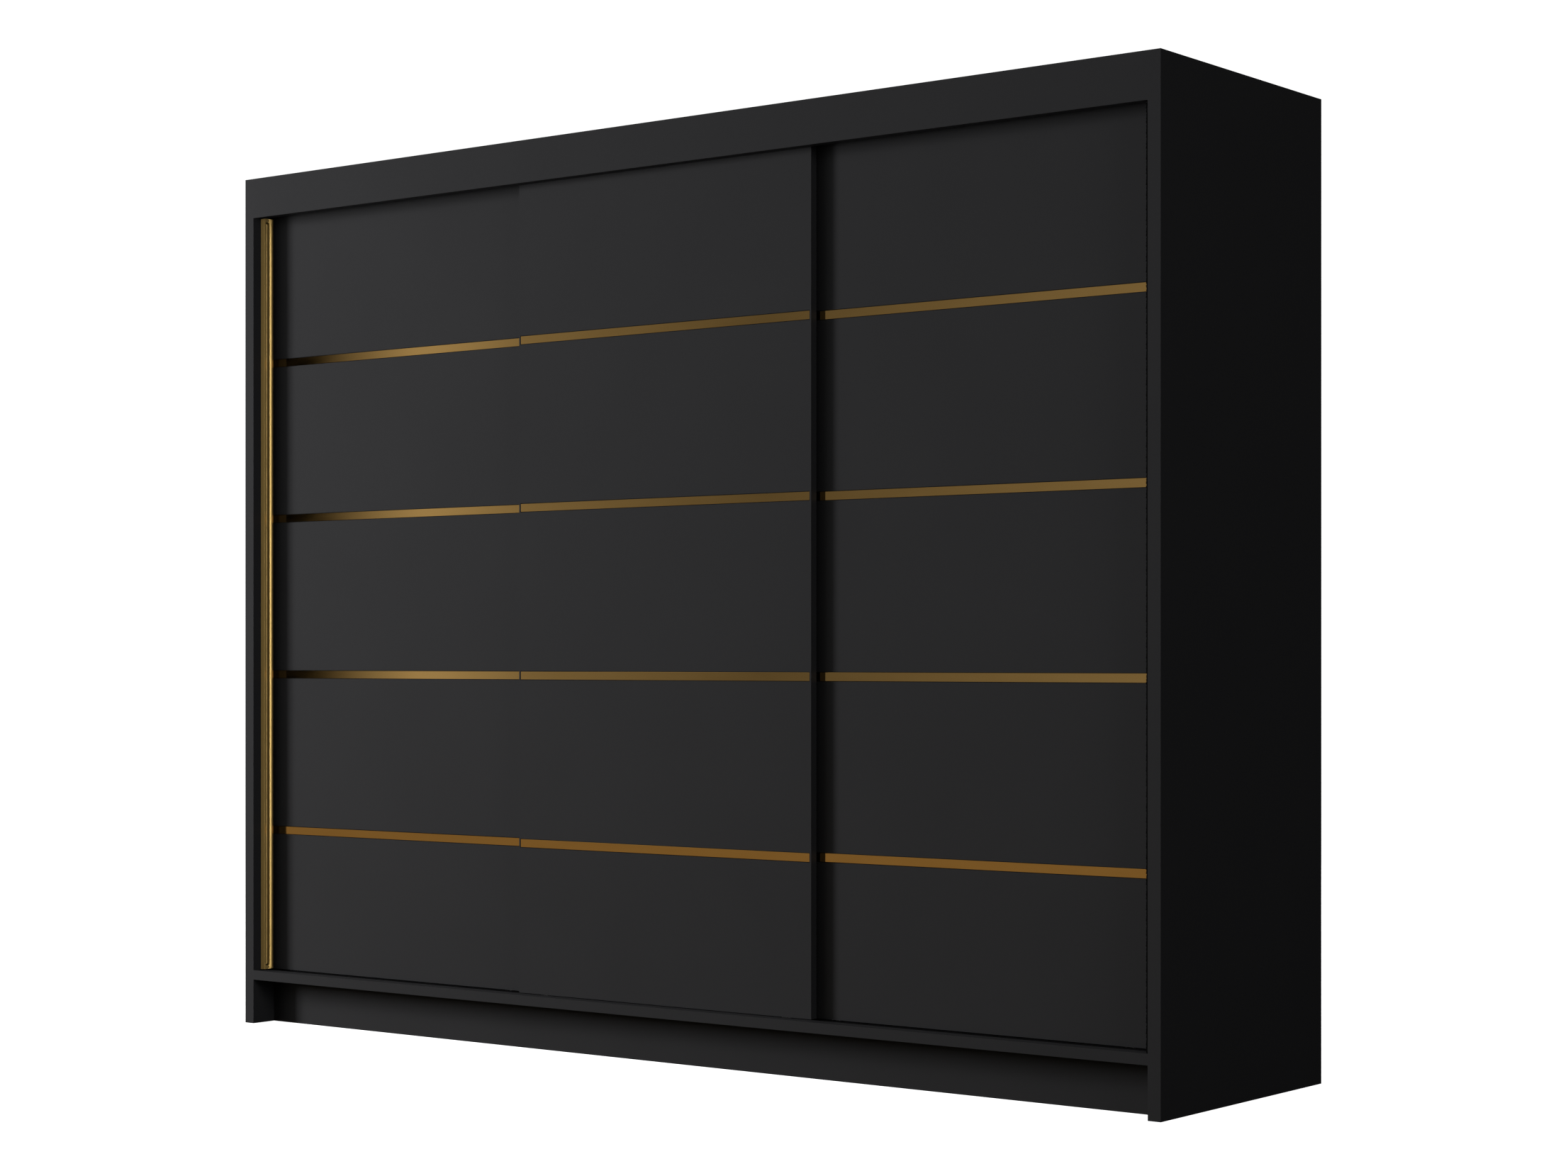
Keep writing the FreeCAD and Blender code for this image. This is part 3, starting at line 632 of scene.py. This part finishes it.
def pan_head(fitting, place, out, radius):
    """A pan head that lies on a face, with a short shank behind it."""
    head = tuple((radius * r, radius * h) for r, h in PAN_HEAD)
    profile = ((head[0][0], -PAN_SHANK), *head)
    fitting.add(place, out, profile, recess=radius * 0.5, depth=radius * 0.35)


SOCKET_FLANGE = 0.0025
SOCKET_SCREW_INSET = 0.0042          # from the flange's upper or lower end
SOCKET_HEAD = 0.0026
BRACKET_LEG = 0.0025
BRACKET_SCREW_INSET = 0.028          # from the back of the wall leg
BRACKET_HEAD = 0.0046


def socket_screws(look):
    """Two pan heads in each rod socket's flange."""
    screws = Fitting()
    for low, high in solids("rod_sockets"):
        centre = (low + high) / 2
        on_left = any(abs(low.x - x) < SOCKET_FLANGE / 2 for x in bay_left_faces())
        inwards = 1 if on_left else -1
        face = low.x + SOCKET_FLANGE if on_left else high.x - SOCKET_FLANGE
        for z in (low.z + SOCKET_SCREW_INSET, high.z - SOCKET_SCREW_INSET):
            place = Vector((face, centre.y, z))
            pan_head(screws, place, Vector((inwards, 0, 0)), SOCKET_HEAD)
    screws.finish("rod_socket_screws", look, "screw_steel", "carcass")


def bay_left_faces():
    """Where each bay starts along X: the right faces of the boards on its left."""
    names = ("left_side_panel", "left_partition", "right_partition")
    return [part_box(name)[1].x for name in names]


def bracket_screws(look):
    """A pan head in each bracket's upper leg; the wall leg's hole waits for the wall screw."""
    screws = Fitting()
    for low, high in solids("wall_brackets"):
        x = (low.x + high.x) / 2
        place = Vector((x, high.y - BRACKET_SCREW_INSET, high.z - BRACKET_LEG))
        pan_head(screws, place, Vector((0, 0, -1)), BRACKET_HEAD)
    screws.finish("bracket_screws", look, "screw_steel", "carcass")


SEAL_PITCH = 0.0026
SEAL_BACKING = 0.35                  # the backing's part of the seal's reach
TUFT_ROOT = (0.10, 0.90)             # where a tuft lies across the seal, at its root and its tip
TUFT_TIP = (0.20, 0.80)
TUFT_HALF = 0.49 * SEAL_PITCH
TUFT_TAPER = 0.88
BOX_FACES = ((0, 1, 2, 3), (7, 6, 5, 4), (0, 4, 5, 1), (1, 5, 6, 2), (2, 6, 7, 3), (3, 7, 4, 0))
TUFT_FACES = ((4, 5, 6, 7), (0, 1, 5, 4), (1, 2, 6, 5), (2, 3, 7, 6), (3, 0, 4, 7))


def add_block(verts, faces, corners, sides):
    """Adds one block to a mesh's lists; sides are faces of the block's own eight corners."""
    first = len(verts)
    verts.extend(corners)
    faces.extend(tuple(first + k for k in side) for side in sides)


def tuft(root, across, grow, step):
    """The eight corners of one tuft; each leans and reaches a little differently."""
    lean = 0.10 * math.sin(step * 2.4) + 0.06 * math.sin(step * 0.7)
    length = 0.94 + 0.05 * math.sin(step * 1.7)
    half = Vector((0, 0, TUFT_HALF))
    tip = half * TUFT_TAPER
    inner = root + grow * (SEAL_BACKING * 0.9)
    outer = root + grow * length + across * lean
    a, b = (across * part for part in TUFT_ROOT)
    c, d = (across * part for part in TUFT_TIP)
    return (inner + a - half, inner + b - half, inner + b + half, inner + a + half,
            outer + c - tip, outer + d - tip, outer + d + tip, outer + c + tip)


def brush_seal(node, body, axis, outwards, looks):
    """A woven backing with a row of pile tufts.

    The pile grows along X where axis is 0 and along Y where it is 1; outwards is its sign.
    """
    backings, tufts = ([], []), ([], [])
    step = 0
    for low, high in solids(node):
        size = high - low
        grow = Vector((0, 0, 0))
        grow[axis] = size[axis] * outwards
        across = Vector((0, 0, 0))
        across[1 - axis] = size[1 - axis]
        root = low.copy()
        if outwards < 0:
            root[axis] = high[axis]
        base = [root, root + across, root + across + grow * SEAL_BACKING, root + grow * SEAL_BACKING]
        rise = Vector((0, 0, size.z))
        add_block(*backings, base + [corner + rise for corner in base], BOX_FACES)
        count = int(size.z / SEAL_PITCH)
        for i in range(count):
            step += 1
            height = Vector((0, 0, (i + 0.5) * size.z / count))
            add_block(*tufts, tuft(root + height, across, grow, step), TUFT_FACES)
    backing = new_piece(node + "_backing", *backings, looks["brush_pile"], "brush_pile", body)
    pile = new_piece(node + "_pile", *tufts, looks["brush_pile"], "brush_pile", body)
    clean_mesh(backing)
    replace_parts(pile, node)
    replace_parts(backing, node)


def small_pieces(looks):
    handle_screws(looks["screw_steel"])
    track_screws(looks["screw_steel"])
    socket_screws(looks["screw_steel"])
    bracket_screws(looks["screw_steel"])
    cam_locks(looks["zinc_alloy"])
    brush_seal("left_door_edge_seal", "left_door", 0, -1, looks)
    # The right panel's seal is a black strip put where the right door meets the side panel in shade:
    # painted shade, seen as a black line.
    brush_seal("right_panel_seal", "carcass", 0, -1, looks)
    brush_seal("middle_door_edge_seals", "middle_door", 1, 1, looks)


# ---- carried-over CAD nodes ----
EDGE_BY_SLOT = {
    "black_laminate": BOARD_EDGE,
    "gold_mirror": GOLD_EDGE,
    "gold_anodised": GOLD_EDGE,
    "black_anodised": METAL_EDGE,
    "zinc_alloy": METAL_EDGE,
    "screw_steel": METAL_EDGE,
    "black_plastic": METAL_EDGE,
    "black_rubber": METAL_EDGE,
}


def dress_nodes(looks):
    """Gives each CAD node its material; where its slot is in EDGE_BY_SLOT it also closes its split
    corners and rounds its sharp edges.
    """
    for entry in frame["record"]["subparts"]:
        piece = frame["nodes"][entry["node"]]
        slot = entry["material_slot"]
        piece.data.materials.clear()
        piece.data.materials.append(looks[slot])
        if slot in EDGE_BY_SLOT:
            weld = piece.modifiers.new("weld", "WELD")
            weld.merge_threshold = WELD_GAP
            round_edges(piece, EDGE_BY_SLOT[slot], 2, 40)


# ---- stage ----
def aim(thing, target):
    direction = Vector(target) - thing.location
    thing.rotation_euler = direction.to_track_quat("-Z", "Y").to_euler()


def area_light(name, place, target, width, height, watts):
    data = bpy.data.lights.new(name, "AREA")
    data.shape = "RECTANGLE"
    data.size = width
    data.size_y = height
    data.energy = watts
    lamp = bpy.data.objects.new(name, data)
    bpy.context.scene.collection.objects.link(lamp)
    lamp.location = place
    aim(lamp, target)
    return lamp


def linked_lights(name, lamps, pieces, mirrored):
    """Lamps that light these pieces alone; mirrored lets them show in reflections too."""
    lit = bpy.data.collections.new(name)
    for piece in pieces:
        lit.objects.link(piece)
    for lamp in lamps:
        light = area_light(*lamp)
        light.light_linking.receiver_collection = lit
        light.visible_glossy = mirrored


def lights(handles):
    for lamp in STUDIO_LAMPS:
        area_light(*lamp)
    for lamp in SURFACE_LAMPS:
        area_light(*lamp).visible_glossy = False
    linked_lights("lit_handles", HANDLE_LAMPS, handles, mirrored=True)
    linked_lights("lit_panel", PANEL_LAMPS, [frame["nodes"]["left_side_panel"]], mirrored=False)


def shading_ramp(tree, along, stops):
    """A grey for each place along the card; along runs from 0 to 1 over the card's width."""
    ramp = tree.nodes.new("ShaderNodeValToRGB")
    tree.links.new(along, ramp.inputs["Fac"])
    elements = ramp.color_ramp.elements
    elements.remove(elements[1])
    for i, (x, level) in enumerate(stops):
        at = (x - CARD_X[0]) / (CARD_X[1] - CARD_X[0])
        element = elements[0] if i == 0 else elements.new(at)
        element.position = at
        element.color = (level, level, level, 1.0)
    return ramp.outputs["Color"]


def flat_piece(name, corners):
    """A single four-cornered face."""
    mesh = bpy.data.meshes.new(name)
    mesh.from_pydata(corners, [], [(0, 1, 2, 3)])
    piece = bpy.data.objects.new(name, mesh)
    bpy.context.scene.collection.objects.link(piece)
    return piece


def card_glow():
    """Soft shades along X, over an even glow that takes their place below CARD_LOW_Z."""
    material = bpy.data.materials.new("card_glow")
    material.use_nodes = True
    tree = material.node_tree
    tree.nodes.clear()
    coords = tree.nodes.new("ShaderNodeTexCoord")
    parts = tree.nodes.new("ShaderNodeSeparateXYZ")
    tree.links.new(coords.outputs["Object"], parts.inputs["Vector"])
    along = tree.nodes.new("ShaderNodeMapRange")
    along.inputs["From Min"].default_value, along.inputs["From Max"].default_value = CARD_X
    tree.links.new(parts.outputs["X"], along.inputs["Value"])
    rise = tree.nodes.new("ShaderNodeMapRange")
    rise.interpolation_type = "SMOOTHSTEP"
    rise.inputs["From Min"].default_value, rise.inputs["From Max"].default_value = CARD_LOW_Z
    tree.links.new(parts.outputs["Z"], rise.inputs["Value"])
    blend = tree.nodes.new("ShaderNodeMix")
    blend.data_type = "RGBA"
    tree.links.new(rise.outputs["Result"], blend.inputs["Factor"])
    blend.inputs[MIX_A].default_value = (*CARD_LOW_GLOW, 1.0)
    tree.links.new(shading_ramp(tree, along.outputs["Result"], CARD_SHADES), blend.inputs[MIX_B])
    glow = tree.nodes.new("ShaderNodeEmission")
    tree.links.new(blend.outputs[MIX_RESULT], glow.inputs["Color"])
    out = tree.nodes.new("ShaderNodeOutputMaterial")
    tree.links.new(glow.outputs["Emission"], out.inputs["Surface"])
    return material


def card():
    """A large graded reflector that only mirror-like surfaces see."""
    (left, right), (low, high) = CARD_X, CARD_Z
    corners = [(left, CARD_Y, low), (right, CARD_Y, low), (right, CARD_Y, high), (left, CARD_Y, high)]
    piece = flat_piece("card", corners)
    piece.data.materials.append(card_glow())
    piece.visible_camera = False
    piece.visible_diffuse = False
    piece.visible_shadow = False


def world():
    """White beyond the floor; it shows, but gives the wardrobe no light."""
    studio = bpy.data.worlds.new("studio")
    studio.use_nodes = True
    background = studio.node_tree.nodes["Background"]
    background.inputs["Color"].default_value = (1.0, 1.0, 1.0, 1.0)
    background.inputs["Strength"].default_value = WHITE_GLOW
    studio.cycles_visibility.diffuse = False
    studio.cycles_visibility.glossy = False
    bpy.context.scene.world = studio


def floor():
    """A pale floor as bright as the surroundings, so that it meets them without a line."""
    r = FLOOR_REACH
    piece = flat_piece("floor", [(-r, -r, 0), (r, -r, 0), (r, r, 0), (-r, r, 0)])
    s = Shader("pale_floor", (0.86, 0.86, 0.86), 0.8)
    s.set("Emission Color", (1.0, 1.0, 1.0, 1.0))
    s.set("Emission Strength", WHITE_GLOW)
    piece.data.materials.append(s.material)
    piece.visible_diffuse = False
    piece.visible_glossy = False


def camera():
    data = bpy.data.cameras.new("camera")
    data.lens = CAMERA_LENS
    data.sensor_width = CAMERA_SENSOR
    data.shift_y = CAMERA_SHIFT_Y
    data.clip_end = 100.0
    eye = bpy.data.objects.new("camera", data)
    bpy.context.scene.collection.objects.link(eye)
    eye.location = CAMERA_PLACE
    eye.rotation_euler = (math.pi / 2, 0.0, CAMERA_YAW)
    bpy.context.scene.camera = eye


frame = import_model()
camera()
world()
floor()
card()
looks = materials()
dress_nodes(looks)
handles = [
    grip_handle("left_door_handle", looks["gold_anodised"], "left_door", -1),
    grip_handle("right_door_handle", looks["gold_anodised"], "right_door", 1),
]
small_pieces(looks)
lights(handles)
bpy.context.scene.view_settings.view_transform = "Standard"
bpy.context.scene.view_settings.look = "None"
